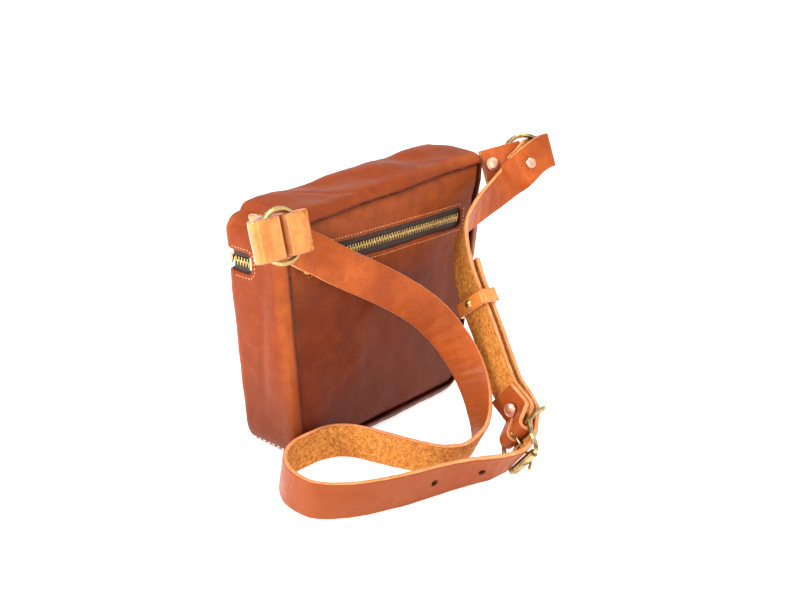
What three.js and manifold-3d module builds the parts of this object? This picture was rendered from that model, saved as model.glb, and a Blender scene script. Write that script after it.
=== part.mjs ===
// A small leather sling bag on its shoulder strap: a rectangular pouch with a zip round its front and
// sides, a zipped pocket on its back, a ring at each top corner, and a strap closed by a bar buckle.
// Millimetres. +Z is up, the floor is z = 0, the bag's back panel faces -Y and its left end is at -X.
import * as THREE from 'three';
import { mergeVertices } from 'three/addons/utils/BufferGeometryUtils.js';
import Module from 'manifold-3d';

const wasm = await Module();
wasm.setup();

// ---------------------------------------------------------------- driving dimensions
const gap = 0.35; // left between neighbouring pieces
const bag = {
  topWidth: 208, bottomWidth: 180, leftHeight: 169, rightHeight: 184, depth: 50,
  wall: 2, edgeRound: 6, bottomCorner: 20, topCorner: 9, lip: 7, crease: 9,
};
const mainZip = { middle: 136.5, slot: 14, sideEnd: 0, teethEnd: 3.4, sliderX: 62, travel: 130 };
const pocketZip = { middle: 138.8, slot: 14.5, halfLength: 79, sliderX: -64, travel: 128 };
const tape = { width: 9, thickness: 0.8, inset: 3 };
const teeth = { pitch: 2.8, root: 2.2, tip: 3, thickness: 1.8, inset: 1.3 };
const slider = { length: 11, halfHeight: 4.6, plate: 1.4, crown: 2.6, hole: 1.7 };
const puller = { length: 22, width: 7, thickness: 0.8 };
const pocket = { halfWidth: 84, floor: 45, top: 152, front: 21.1, back: 12, wall: 0.8 };
const strap = { width: 25, thickness: 3.6, corner: 0.6 };
const ring = { radius: 15.75, wire: 1.75 };
const rivet = { shank: 1.5, head: 5.2, dome: 2 };
const keeper = { width: 10, thickness: 2.4 };
const buckle = { halfLength: 19, halfWidth: 15.2, bow: 9.7, wire: 1.6, roller: 2.9 };

const layer = strap.thickness + gap; // centre to centre of two straps lying on each other
const wrap = ring.wire + gap + strap.thickness / 2; // centre line of leather round a ring's wire
const barWrap = buckle.wire + gap + strap.thickness / 2;

// ---------------------------------------------------------------- materials
function material(colour, roughness, metalness = 0) {
  return () => new THREE.MeshStandardMaterial({ color: colour, roughness, metalness });
}
const bagLeather = material(0xa85a38, 0.5);
const backLeather = material(0x7d4024, 0.5);
const strapLeather = material(0xd5763a, 0.45);
const lining = material(0x4b3a33, 0.9);
const zipTape = material(0x35242a, 0.9);
const brass = material(0xc9a24c, 0.3, 1);
const oldBrass = material(0x8d713c, 0.4, 1);
const copper = material(0xcf9478, 0.35, 1);

const group = new THREE.Group();
group.name = 'sling_bag';

function addPart(name, solid, makeMaterial) {
  const mesh = new THREE.Mesh(toGeometry(solid), makeMaterial());
  mesh.name = name;
  group.add(mesh);
}

// ---------------------------------------------------------------- general helpers
const vec = (x, y, z) => new THREE.Vector3(x, y, z);
const unit = (x, y, z) => vec(x, y, z).normalize();

function toSolid(geometry) {
  const bare = new THREE.BufferGeometry();
  bare.setAttribute('position', geometry.getAttribute('position').clone());
  if (geometry.index) bare.setIndex(geometry.index.clone());
  const merged = mergeVertices(bare, 1e-4);
  const triVerts = [];
  for (let at = 0; at < merged.index.count; at += 3) {
    const [a, b, c] = [0, 1, 2].map((next) => merged.index.getX(at + next));
    if (a !== b && b !== c && c !== a) triVerts.push(a, b, c);
  }
  return new wasm.Manifold(new wasm.Mesh({
    numProp: 3,
    vertProperties: new Float32Array(merged.getAttribute('position').array),
    triVerts: new Uint32Array(triVerts),
  }));
}

function toGeometry(solid) {
  const mesh = solid.getMesh();
  const geometry = new THREE.BufferGeometry();
  geometry.setAttribute('position', new THREE.BufferAttribute(mesh.vertProperties, 3));
  geometry.setIndex(new THREE.BufferAttribute(mesh.triVerts, 1));
  geometry.computeVertexNormals();
  return geometry;
}

function boxSolid(low, high) {
  const size = [0, 1, 2].map((axis) => high[axis] - low[axis]);
  const middle = [0, 1, 2].map((axis) => (high[axis] + low[axis]) / 2);
  return toSolid(new THREE.BoxGeometry(...size).translate(...middle));
}

// A flat shape, drawn anticlockwise, whose corners, each [x, y, radius], are rounded.
function roundedShape(corners) {
  const shape = new THREE.Shape();
  corners.forEach(([x, y, radius], index) => {
    const corner = new THREE.Vector2(x, y);
    const [back, on] = [index - 1, index + 1].map((other) => {
      const [ox, oy] = corners[(other + corners.length) % corners.length];
      return new THREE.Vector2(ox, oy).sub(corner).normalize();
    });
    const half = Math.acos(back.dot(on)) / 2;
    const centre = back.clone().add(on).setLength(radius / Math.sin(half)).add(corner);
    const [start, end] = [back, on].map((way) => way
      .setLength(radius / Math.tan(half)).add(corner).sub(centre).angle());
    shape.absarc(centre.x, centre.y, radius, start, end, false);
  });
  return shape;
}

function rectangle(x0, y0, x1, y1, radius) {
  return roundedShape([[x0, y0, radius], [x1, y0, radius], [x1, y1, radius], [x0, y1, radius]]);
}

// A shape drawn in X and Z, given thickness from y0 to y1, with its edges rounded.
function slab(shape, y0, y1, round = 0) {
  const geometry = new THREE.ExtrudeGeometry(shape, {
    depth: y1 - y0 - 2 * round,
    bevelEnabled: round > 0,
    bevelThickness: round,
    bevelSize: round,
    bevelOffset: -round,
    bevelSegments: 4,
    curveSegments: 3,
  });
  return toSolid(geometry.rotateX(Math.PI / 2).translate(0, y1 - round, 0));
}

// A shape drawn in Y and Z, given length from x0 to x1.
function bar(shape, x0, x1) {
  const settings = { depth: x1 - x0, bevelEnabled: false, curveSegments: 3 };
  const geometry = new THREE.ExtrudeGeometry(shape, settings);
  const turn = new THREE.Matrix4().makeBasis(vec(0, 1, 0), vec(0, 0, 1), vec(1, 0, 0));
  return toSolid(geometry.applyMatrix4(turn).translate(x0, 0, 0));
}

// One closed body through a row of sections, each a list of points going round the same way.
function loft(sections) {
  const around = sections[0].length;
  const index = [];
  for (let row = 0; row + 1 < sections.length; row += 1) {
    for (let side = 0; side < around; side += 1) {
      const a = row * around + side;
      const b = row * around + ((side + 1) % around);
      index.push(a, b + around, b, a, a + around, b + around);
    }
  }
  const last = (sections.length - 1) * around;
  for (let side = 1; side + 1 < around; side += 1) {
    index.push(0, side, side + 1);
    index.push(last, last + side + 1, last + side);
  }
  const geometry = new THREE.BufferGeometry();
  geometry.setAttribute('position', new THREE.Float32BufferAttribute(
    sections.flat().flatMap((point) => point.toArray()), 3));
  geometry.setIndex(index);
  return toSolid(geometry);
}

// A place on a strap: its middle, the direction along it, across it and out of its smooth side.
function station(middle, along, across) {
  const out = across.clone().cross(along).normalize();
  return { middle, along, across: along.clone().cross(out).normalize(), out };
}

// Stations on a smooth curve through control points given as [middle, across].
function stationsThrough(controls, spacing = 1.5) {
  const path = new THREE.CatmullRomCurve3(controls.map(([middle]) => middle), false, 'centripetal');
  path.arcLengthDivisions = 1000;
  const pieces = Math.round(path.getLength() / spacing);
  return Array.from({ length: pieces + 1 }, (_, step) => {
    const t = path.getUtoTmapping(step / pieces);
    const share = t * (controls.length - 1);
    const [low, high] = [Math.floor(share), Math.ceil(share)];
    const [before, after] = [low, high].map((index) => controls[index][1].clone().normalize());
    const across = before.lerp(after, share - low);
    return station(path.getPoint(t), path.getTangent(t), across);
  });
}

// Drops stations from straight runs: one is kept each time the strap has turned or gone far enough.
function thinned(stations, turn = 0.16, reach = 14) {
  const kept = [stations[0]];
  stations.slice(1, -1).forEach((place, index) => {
    const last = kept[kept.length - 1];
    const next = stations[index + 2];
    const turned = Math.max(last.along.angleTo(next.along), last.out.angleTo(next.out));
    if (turned > turn || last.middle.distanceTo(next.middle) > reach) kept.push(place);
  });
  return [...kept, stations[stations.length - 1]];
}

// Control points for a layer lying beside a strap, a given distance out from it.
function beside(stations, distance) {
  return stations.map((place) => [along(place, 0, 0, distance), place.across]);
}

// The station so far along a strap from another of its stations.
function stationAt(stations, from, distance) {
  const step = distance < 0 ? -1 : 1;
  let at = stations.indexOf(from);
  for (let left = Math.abs(distance); left > 0 && stations[at + step]; at += step) {
    left -= stations[at].middle.distanceTo(stations[at + step].middle);
  }
  return stations[at];
}

function nearest(stations, point) {
  return stations.reduce((best, place) => (
    place.middle.distanceTo(point) < best.middle.distanceTo(point) ? place : best));
}

// The leather of a strap: a flat section with its four long edges eased.
function strapSolid(stations, width = strap.width, thickness = strap.thickness, ease = strap.corner) {
  const [w, t] = [width / 2, thickness / 2];
  const outline = [
    [w, ease - t], [w, t - ease], [w - ease, t], [ease - w, t],
    [-w, t - ease], [-w, ease - t], [ease - w, -t], [w - ease, -t],
  ];
  return loft(stations.map((place) => outline.map(([a, o]) => along(place, 0, a, o))));
}

// The point so far along, across and out from a station.
function along(place, forward, across, out) {
  return place.middle.clone()
    .addScaledVector(place.along, forward)
    .addScaledVector(place.across, across)
    .addScaledVector(place.out, out);
}

// Moves a geometry drawn with X along, Y across and Z out onto a station.
function onStation(geometry, place, forward = 0, across = 0, out = 0) {
  const basis = new THREE.Matrix4().makeBasis(place.along, place.out.clone().cross(place.along), place.out);
  basis.setPosition(along(place, forward, across, out));
  return geometry.applyMatrix4(basis);
}

function punch(place, across = 0, radius = rivet.shank + gap, depth = 30) {
  const cylinder = new THREE.CylinderGeometry(radius, radius, depth, 20).rotateX(Math.PI / 2);
  return toSolid(onStation(cylinder, place, 0, across));
}

// A rivet whose domed head stands `above` the station on its outer side, or inner if flipped. Its shank
// reaches `below`, and ends in a flat washer when it goes right through.
function rivetSolid(place, above, below, options = {}) {
  const { across = 0, head = rivet.head, washer = true, flip = false } = options;
  const foot = washer
    ? [[0, -below - 1.1], [3.4, -below - 1.1], [3.4, -below - 0.2], [rivet.shank, -below - 0.2]]
    : [[0, -below], [rivet.shank, -below]];
  const profile = [...foot, [rivet.shank, above + 0.2], [head, above + 0.2], [head * 0.9, above + 1],
    [head * 0.55, above + rivet.dome - 0.2], [0, above + rivet.dome + 0.1]];
  const lathe = new THREE.LatheGeometry(profile.map(([r, h]) => new THREE.Vector2(r, h)), 20);
  lathe.rotateX(flip ? -Math.PI / 2 : Math.PI / 2);
  return toSolid(onStation(lathe, place, 0, across));
}

// ---------------------------------------------------------------- the pouch
const slope = (bag.rightHeight - bag.leftHeight) / bag.topWidth;
const topAt = (x) => (bag.leftHeight + bag.rightHeight) / 2 + slope * x;
const halfWidthAt = (z) => THREE.MathUtils.lerp(
  bag.bottomWidth / 2, bag.topWidth / 2, z / ((bag.leftHeight + bag.rightHeight) / 2));

// The pouch seen from the front, drawn `inset` inside its outside.
function outline(inset) {
  const bottom = bag.bottomWidth / 2 - inset;
  const top = bag.topWidth / 2 - inset;
  return roundedShape([
    [-bottom, inset, bag.bottomCorner - inset],
    [bottom, inset, bag.bottomCorner - inset],
    [top, topAt(top) - inset, Math.max(bag.topCorner - inset, 2)],
    [-top, topAt(-top) - inset, Math.max(bag.topCorner - inset, 2)],
  ]);
}

const back = -bag.depth / 2;
const front = bag.depth / 2;
const far = 200;
const outside = slab(outline(0), back, front, bag.edgeRound);
const inside = slab(outline(bag.wall), back + bag.wall, front - bag.wall, bag.edgeRound - bag.wall);
const shell = outside.subtract(inside);

const panelEdge = bag.lip + 0.4;
const slotLow = mainZip.middle - mainZip.slot / 2;
const slotHigh = mainZip.middle + mainZip.slot / 2;
const zipSlot = bar(rectangle(mainZip.sideEnd, slotLow, 60, slotHigh, 4), -far, far);
const band = shell
  .subtract(slab(outline(bag.lip), -far, back + 3))
  .subtract(slab(outline(bag.lip), front - 3, far));

function aboveTop(drop) {
  const shape = new THREE.Shape();
  shape.moveTo(-far, topAt(-far) - drop);
  shape.lineTo(far, topAt(far) - drop);
  shape.lineTo(far, far * 2);
  shape.lineTo(-far, far * 2);
  shape.closePath();
  return slab(shape, -far, far);
}

function topPanel() {
  return band.intersect(aboveTop(bag.crease));
}

function bottomPanel() {
  return band.intersect(boxSolid([-far, -far, -1], [far, far, bag.lip + 0.3]));
}

function sideGusset(side) {
  const [x0, x1] = side < 0 ? [-far, 0] : [0, far];
  return band
    .subtract(aboveTop(bag.crease + 0.4))
    .intersect(boxSolid([x0, -far, bag.lip + 0.7], [x1, far, far * 2]))
    .subtract(zipSlot);
}

function frontPlate() {
  return shell.intersect(slab(outline(panelEdge), front - 3, far)).subtract(zipSlot);
}

const pocketLow = pocketZip.middle - pocketZip.slot / 2;
const pocketHigh = pocketZip.middle + pocketZip.slot / 2;

function backPanel() {
  const opening = rectangle(-pocketZip.halfLength, pocketLow, pocketZip.halfLength, pocketHigh, 4);
  const slot = slab(opening, -far, 0);
  return shell.intersect(slab(outline(panelEdge), -far, back + 3)).subtract(slot);
}

function pocketLining() {
  const { halfWidth, floor, top, front: near, back: deep, wall } = pocket;
  const outer = slab(rectangle(-halfWidth, floor, halfWidth, top, 8), -near, -deep);
  const hollow = rectangle(wall - halfWidth, floor + wall, halfWidth - wall, top - wall, 7);
  const inner = slab(hollow, wall - near, -deep - wall);
  const mouth = slab(rectangle(-77, pocketLow + 1.5, 77, pocketHigh - 1.5, 4), -near - 1, wall - near + 1);
  return outer.subtract(inner).subtract(mouth);
}

addPart('back_panel', backPanel(), backLeather);
const belowZip = boxSolid([-far, -far, 0], [far, far, mainZip.middle]);
const aboveZip = boxSolid([-far, -far, mainZip.middle], [far, far, far]);
addPart('front_panel', frontPlate().intersect(belowZip), bagLeather);
addPart('front_top_panel', frontPlate().intersect(aboveZip), bagLeather);
addPart('top_panel', topPanel(), bagLeather);
addPart('bottom_panel', bottomPanel(), bagLeather);
addPart('side_gusset_left', sideGusset(-1), bagLeather);
addPart('side_gusset_right', sideGusset(1), bagLeather);
addPart('pocket_lining', pocketLining(), lining);

// ---------------------------------------------------------------- zips
// The main zip's way at one height: from the left side, round the front corners, to the right side.
function zipWay(z, inset, end, count) {
  const halfWidth = halfWidthAt(z) - inset;
  const halfDepth = bag.depth / 2 - inset;
  const radius = bag.edgeRound - inset;
  const way = new THREE.Path();
  way.moveTo(-halfWidth, end);
  way.lineTo(-halfWidth, halfDepth - radius);
  way.absarc(radius - halfWidth, halfDepth - radius, radius, Math.PI, Math.PI / 2, true);
  way.lineTo(halfWidth - radius, halfDepth);
  way.absarc(halfWidth - radius, halfDepth - radius, radius, Math.PI / 2, 0, true);
  way.lineTo(halfWidth, end);
  return way.getSpacedPoints(count).map(({ x, y }) => vec(x, y, z));
}

// A thin strip standing between an upper and a lower edge line.
function strip(upper, lower, thickness) {
  return loft(upper.map((high, row) => {
    const low = lower[row];
    const [a, b] = [Math.max(row - 1, 0), Math.min(row + 1, upper.length - 1)];
    const forward = upper[b].clone().add(lower[b]).sub(upper[a]).sub(lower[a]);
    const out = high.clone().sub(low).cross(forward).setLength(thickness / 2);
    return [high.clone().add(out), high.clone().sub(out), low.clone().sub(out), low.clone().add(out)]
      .reverse();
  }));
}

// Teeth as one chain whose edges step in and out, four points to a tooth.
function toothHeight(row) {
  return row % 4 < 2 ? teeth.tip : teeth.root;
}

function mainTape(side) {
  const edge = mainZip.middle + side * 1.2;
  const heights = [edge, edge + side * tape.width].sort((a, b) => b - a);
  const [upper, lower] = heights.map((z) => zipWay(z, tape.inset, mainZip.sideEnd - 3, 120));
  return strip(upper, lower, tape.thickness);
}

function mainTeeth() {
  const length = bag.topWidth + 2 * (front - mainZip.teethEnd) - 20;
  const count = Math.round(length / teeth.pitch) * 4 + 1;
  const levels = [1, -1].map((side) => {
    const high = zipWay(mainZip.middle + side * teeth.tip, teeth.inset, mainZip.teethEnd, count);
    const low = zipWay(mainZip.middle + side * teeth.root, teeth.inset, mainZip.teethEnd, count);
    return high.map((point, row) => (toothHeight(row) === teeth.tip ? point : low[row]));
  });
  return strip(...levels, teeth.thickness);
}

function pocketTape(side) {
  const reach = pocketZip.halfLength + 2;
  const edge = pocketZip.middle + side * 1.2;
  const [low, high] = [edge, edge + side * tape.width].sort((a, b) => a - b);
  const depth = back + tape.inset;
  return boxSolid([-reach, depth - tape.thickness / 2, low], [reach, depth + tape.thickness / 2, high]);
}

function pocketTeeth() {
  const reach = pocketZip.halfLength - 2;
  const count = Math.round((2 * reach) / teeth.pitch) * 4 + 1;
  const rows = Array.from({ length: count + 1 }, (_, row) => row);
  const edges = [1, -1].map((side) => rows.map((row) => vec(
    THREE.MathUtils.lerp(-reach, reach, row / count),
    back + teeth.inset,
    pocketZip.middle + side * toothHeight(row))));
  return strip(...edges, teeth.thickness);
}

// A zip slider riding on the teeth of a straight run that faces +Y.
function sliderSolid(x, z) {
  const face = front - teeth.inset + teeth.thickness / 2 + gap;
  const top = face + slider.plate;
  const inner = teeth.tip + gap;
  const skirt = front - tape.inset + tape.thickness / 2 + gap;
  const section = new THREE.Shape([
    [-slider.halfHeight, skirt], [-inner, skirt], [-inner, face], [inner, face], [inner, skirt],
    [slider.halfHeight, skirt], [slider.halfHeight, top], [-slider.halfHeight, top],
  ].map(([height, out]) => new THREE.Vector2(out, height)));
  const body = bar(section, -slider.length / 2, slider.length / 2);
  const crown = boxSolid([-2.9, top - 0.2, -1], [2.9, top + slider.crown, 1])
    .subtract(boxSolid([-1.7, top, -2], [1.7, top + slider.hole, 2]));
  return body.add(crown).translate([x, 0, z]);
}

function sliderTop() {
  return front - teeth.inset + teeth.thickness / 2 + gap + slider.plate;
}

// The puller lies flat on its slider; its end bar turns in the middle of the hole in the slider's crown.
function pullerSolid(x, z, direction) {
  const half = puller.width / 2;
  const plate = rectangle(-0.4, -half, puller.length, half, 0.3);
  const window = rectangle(0.4, -1.7, 6, 1.7, 0.5);
  const hole = rectangle(puller.length - 5, -1.5, puller.length - 2, 1.5, 1.2);
  const y0 = sliderTop() + (slider.hole - puller.thickness) / 2;
  const flat = slab(plate, y0, y0 + puller.thickness)
    .subtract(slab(window, y0 - 1, y0 + 2))
    .subtract(slab(hole, y0 - 1, y0 + 2));
  const turned = direction < 0 ? flat.mirror([1, 0, 0]) : flat;
  return turned.translate([x, 0, z]);
}

const toBack = (solid) => solid.rotate([0, 0, 180]);

addPart('main_zip_tape_upper', mainTape(1), zipTape);
addPart('main_zip_tape_lower', mainTape(-1), zipTape);
addPart('main_zip_teeth', mainTeeth(), brass);
addPart('main_zip_slider', sliderSolid(mainZip.sliderX, mainZip.middle), brass);
addPart('main_zip_puller', pullerSolid(mainZip.sliderX, mainZip.middle, -1), brass);
addPart('pocket_zip_tape_upper', pocketTape(1), zipTape);
addPart('pocket_zip_tape_lower', pocketTape(-1), zipTape);
addPart('pocket_zip_teeth', pocketTeeth(), brass);
addPart('pocket_zip_slider', toBack(sliderSolid(-pocketZip.sliderX, pocketZip.middle)), brass);
addPart('pocket_zip_puller', toBack(pullerSolid(-pocketZip.sliderX, pocketZip.middle, 1)), brass);

// The end stops close the main zip's teeth on both sides of the pouch.
for (const [name, side] of [['left', -1], ['right', 1]]) {
  const x = side * (halfWidthAt(mainZip.middle) - teeth.inset);
  addPart(`main_zip_stop_${name}`,
    boxSolid(
      [x - 0.9, mainZip.sideEnd + 0.5, mainZip.middle - 4],
      [x + 0.9, mainZip.teethEnd - gap, mainZip.middle + 4]),
    brass);
}

// ---------------------------------------------------------------- rings and the tabs that hold them
// Each ring's frame runs toward its tab, across the leather it holds, and out to the wearer's side.
const leftRing = station(vec(-113.4, -39.8, 165.7), unit(-1, 0, 0), unit(0, 0.26, 0.96));
const rightRing = station(vec(127, -45, 179), unit(-0.77, 0.59, -0.24), unit(-0.02, 0.36, 0.93));

function ringSolid(frame) {
  const torus = new THREE.TorusGeometry(ring.radius, ring.wire, 10, 40);
  return toSolid(onStation(torus, frame));
}

// Control points for strap leather near a ring, each [toward the tab, out, across].
function aroundRing(frame, points, across = frame.across) {
  return points.map(([forward, out, aside = 0]) => [along(frame, forward, aside, out), across]);
}

// Leather turning round a ring's wire: it dives through the middle of the ring, and rounds the wire
// at its outside. Side 1 is the tab's half of the ring, -1 the strap's.
const nearWire = 6.2;
const farWire = ring.radius + 0.25;
const turn = Math.SQRT1_2 * wrap;
const throughRing = (side) => [
  [side * (nearWire - turn), turn], [side * (nearWire - wrap), 0], [side * (nearWire - turn), -turn]];
const roundOutside = (side) => [
  [side * (farWire + turn), -turn], [side * (farWire + wrap), 0], [side * (farWire + turn), turn]];

function tabLeft() {
  const controls = [
    [vec(-105.4, -7, 159), vec(-0.09, 0, 1)],
    [vec(-106.6, -15, 160), vec(-0.09, 0.05, 1)],
    [vec(-112, -22.5, 162), vec(-0.04, 0.15, 1)],
    [vec(-117.5, -28, 163.6), vec(0, 0.22, 0.97)],
    ...aroundRing(leftRing, [
      [farWire, -wrap], ...roundOutside(1), [farWire, wrap], [nearWire, wrap],
      ...throughRing(1).slice(0, 2), [2.5, -3.2],
    ]),
    [vec(-114.4, -32.2, 163.6), vec(0, 0.16, 1)],
    [vec(-110.2, -28.5, 163), vec(0, 0.06, 1)],
    [vec(-105.5, -27.4, 162.5), vec(0, 0.02, 1)],
    [vec(-101, -27.3, 162), vec(0, 0, 1)],
  ];
  return strapSolid(thinned(stationsThrough(controls)));
}

const tabRivetPlace = station(along(rightRing, 25.5, 1, 0), rightRing.along, rightRing.across);

function tabRight() {
  const frontHalf = [[nearWire, wrap], [farWire, wrap], [20.5, 2.7], [25, 2.15], [32, 2.1]];
  const backHalf = frontHalf.map(([forward, out]) => [forward, -out]).reverse();
  const controls = aroundRing(rightRing, [...backHalf, ...throughRing(1).reverse(), ...frontHalf]);
  return strapSolid(thinned(stationsThrough(controls))).subtract(punch(tabRivetPlace));
}

addPart('anchor_tab_left', tabLeft(), strapLeather);
addPart('anchor_tab_right', tabRight(), strapLeather);
addPart('tab_rivet_right', rivetSolid(tabRivetPlace, 4.8, 4.8), copper);
addPart('ring_left', ringSolid(leftRing), brass);
addPart('ring_right', ringSolid(rightRing), brass);

// ---------------------------------------------------------------- the buckle end of the strap
// The buckle's frame runs from its far end to its roller, across its bars, and out over the strap.
const buckleFrame = station(vec(6, -131, 27), unit(-0.84, -0.41, -0.36), unit(-0.03, -0.6, 0.8));

// Control points near the buckle, each [toward the roller, out, across].
function nearBuckle(points) {
  return points.map(([forward, out, across = 0]) => [
    along(buckleFrame, forward, across, out), buckleFrame.across]);
}

// The buckle strap hangs from the right ring to the buckle's middle bar.
const hanging = [
  [vec(107.9, -46.5, 163.7), vec(-11.1, 4.9, 21.8)],
  [vec(93.3, -43.8, 155.6), vec(-12, -0.4, 21.8)],
  [vec(78.2, -41.6, 147.4), vec(-12.2, -5.7, 21.1)],
  [vec(65.6, -41.3, 140.2), vec(-11.3, -11.1, 19.3)],
  [vec(58.5, -42.3, 135.1), vec(-10.3, -14.2, 17.8)],
  [vec(51, -46.7, 127), vec(-8.7, -16.2, 16.9)],
  [vec(42.5, -56.5, 113.2), vec(-6.6, -17.7, 16.4)],
  [vec(37.4, -66.7, 100), vec(-4.5, -18.6, 16)],
  [vec(34.7, -74.9, 89.5), vec(-3.3, -19.4, 15.6)],
  [vec(32.5, -83.2, 78.6), vec(-3.8, -19.5, 15.1)],
  [vec(30.1, -91.7, 66.8), vec(-4.5, -19.6, 14.9)],
  [vec(27.4, -100.8, 53.8), vec(-4, -19.6, 15.1)],
  [vec(25.6, -108.6, 43.6), vec(-2.5, -19, 15.9)],
];
const toBuckle = [
  ...aroundRing(rightRing, [
    [9, 9.2, -8], [4, 8, -4.8], [0, 5, -1.8], [-3, 0.8, -0.3], [-7, -3.2], [-11.5, -wrap], [-farWire, -wrap],
    ...roundOutside(-1), [-farWire, wrap], [-10, 6.8, -1.2], [-4, 10, -3.2], [2, 12.4, -6], [8, 13, -9],
  ]),
  ...hanging,
  ...nearBuckle([[-19, 1.6], [-12, 2.1], [-6, 3.1], [0, barWrap]]),
];
const toBuckleStations = stationsThrough(toBuckle, 2);
const atBar = toBuckleStations[toBuckleStations.length - 1];
const flap = { length: 37, rivet: 22 };

// The strap turns round the middle bar and comes back as a flap on its rough side.
function buckleStrapStations() {
  const returned = [14, 20, 26, 32, flap.length].map((reach) => stationAt(toBuckleStations, atBar, -reach));
  return stationsThrough([
    ...toBuckle,
    ...nearBuckle([[barWrap * Math.SQRT1_2, barWrap * Math.SQRT1_2], [barWrap, 0],
      [barWrap * Math.SQRT1_2, -barWrap * Math.SQRT1_2], [0, -barWrap], [-6, -3.1]]),
    ...beside(returned, -layer - 0.3),
  ]);
}

const foldRivetPlace = stationAt(toBuckleStations, atBar, -flap.rivet);
const ringRivetPlace = nearest(toBuckleStations, along(rightRing, 0, -5, 12.5));

function buckleStrap() {
  const prongSlit = boxSolid([-18, -2.3, -9], [9, 2.3, 4.6]).transform(matrixOf(buckleFrame));
  return strapSolid(thinned(buckleStrapStations()))
    .subtract(prongSlit)
    .subtract(punch(foldRivetPlace))
    .subtract(punch(ringRivetPlace, 0, rivet.shank + gap, 22));
}

function matrixOf(place) {
  return new THREE.Matrix4()
    .makeBasis(place.along, place.out.clone().cross(place.along), place.out)
    .setPosition(place.middle).toArray();
}

addPart('buckle_strap', buckleStrap(), strapLeather);
addPart('buckle_strap_ring_rivet', rivetSolid(
  ringRivetPlace, 2.3, 2.4, { head: 4.2, washer: false }), copper);
addPart('buckle_strap_fold_rivet', rivetSolid(
  foldRivetPlace, 8.5, 1.6, { flip: true, washer: false }), copper);

// ---------------------------------------------------------------- the buckle
const tubeOutline = (radius) => Array.from({ length: 10 }, (_, step) => {
  const angle = (step / 10) * 2 * Math.PI;
  return [Math.cos(angle) * radius, Math.sin(angle) * radius];
});

// A round wire through points in the buckle's frame, each [toward the roller, across, out].
function buckleWire(points, radius) {
  const controls = points.map(([forward, across, out]) => [
    along(buckleFrame, forward, across, out), buckleFrame.out]);
  const places = thinned(stationsThrough(controls, 1), 0.25, 30);
  return loft(places.map((place) => tubeOutline(radius).map(([a, o]) => along(place, 0, a, o))));
}

function buckleFrameSolid() {
  const { halfLength, halfWidth, bow, wire } = buckle;
  const end = (side) => {
    const half = [[side * -0.5, halfWidth, 0], [side * halfLength * 0.45, halfWidth + 0.6, bow * 0.3],
      [side * halfLength * 0.85, halfWidth + 0.5, bow * 0.85], [side * halfLength, halfWidth - 1.2, bow],
      [side * halfLength, halfWidth - 2.4, bow]];
    const other = half.map(([forward, across, out]) => [forward, -across, out]).reverse();
    return buckleWire([...half, [side * halfLength, 0, bow], ...other], wire);
  };
  const middle = buckleWire([[0, -halfWidth - 0.8, 0], [0, halfWidth + 0.8, 0]], wire);
  return end(1).add(end(-1)).add(middle);
}

function rollerSolid() {
  const barAt = (halfWidth, radius) => buckleWire(
    [[buckle.halfLength, -halfWidth, buckle.bow], [buckle.halfLength, halfWidth, buckle.bow]], radius);
  const outer = barAt(11.8, buckle.roller);
  const inner = barAt(20, buckle.wire + gap);
  return outer.subtract(inner);
}

const prongWire = 1.1;

function prongSolid() {
  const eye = new THREE.TorusGeometry(buckle.wire + gap + prongWire, prongWire, 10, 24).rotateX(Math.PI / 2);
  const shaft = buckleWire(
    [[2.6, 0, 1.2], [6, 0, 4], [9, 0, 8.4], [12.5, 0, 12.6], [17, 0, 14.5], [23, 0, 14.2]], prongWire);
  return toSolid(onStation(eye, buckleFrame)).add(shaft);
}

addPart('buckle_frame', buckleFrameSolid(), oldBrass);
addPart('buckle_roller', rollerSolid(), oldBrass);
addPart('buckle_prong', prongSolid(), oldBrass);

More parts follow.
